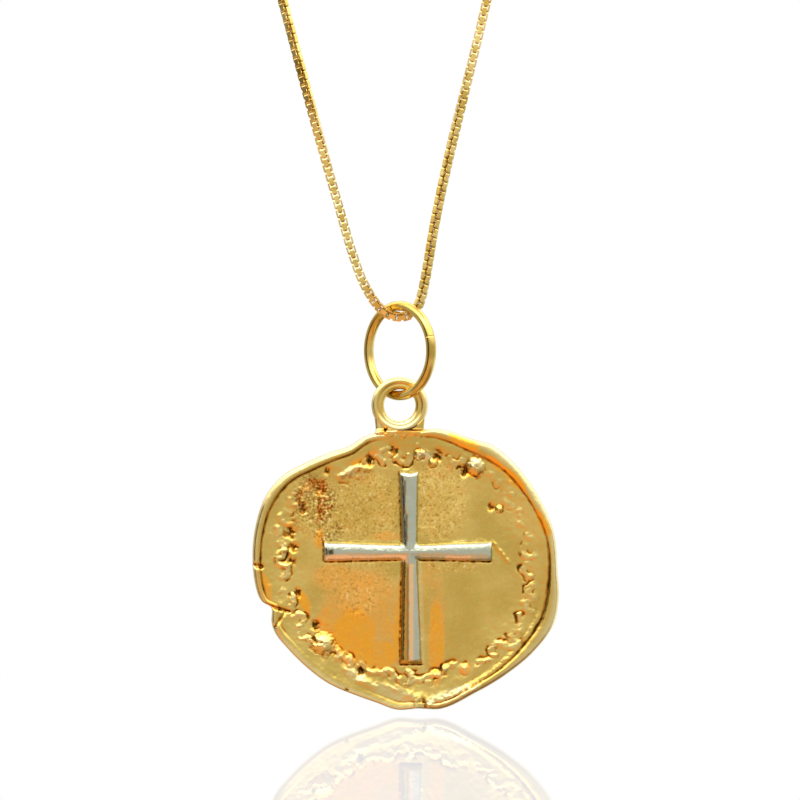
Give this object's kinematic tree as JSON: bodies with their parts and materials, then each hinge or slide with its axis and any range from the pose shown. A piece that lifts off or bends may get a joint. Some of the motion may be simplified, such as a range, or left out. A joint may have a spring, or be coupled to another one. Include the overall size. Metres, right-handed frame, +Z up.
{
  "type": "cross medal pendant on a box chain necklace",
  "caption": "Irregular cast medal with a raised cross and a ring of worn ornament, hung by a jump ring from a fine box chain loop with a round clasp.",
  "frame": {"origin": "centre of the clasp at the top of the chain's loop, where the nape or a peg carries it", "axes": "+Z up along the hanging loop, the medal faces -Y, +X to the viewer's right"},
  "size_m": [0.078, 0.007, 0.237],
  "materials": {
    "chain_gold": "polished gold plate",
    "clasp_gold": "polished gold plate",
    "ring_gold": "polished gold plate",
    "medal_gold": "cast and softly polished gold plate",
    "cross_silver": "polished silver plate"
  },
  "bodies": {
    "chain": {"chain": "chain_gold", "clasp": "clasp_gold"},
    "jump_ring": {"jump_ring": "ring_gold"},
    "medal": {"medal": "medal_gold", "cross": "cross_silver"}
  },
  "joints": [
    {"name": "ring_swing", "type": "hinge", "parent": "chain", "child": "jump_ring", "pos_m": [0, 0, -0.197], "axis": [0.9703, 0.2419, 0], "range_deg": [-45, 45]},
    {"name": "medal_swing", "type": "hinge", "parent": "jump_ring", "child": "medal", "pos_m": [0, 0, -0.20443], "axis": [0.5592, -0.829, 0], "range_deg": [-60, 60]}
  ]
}
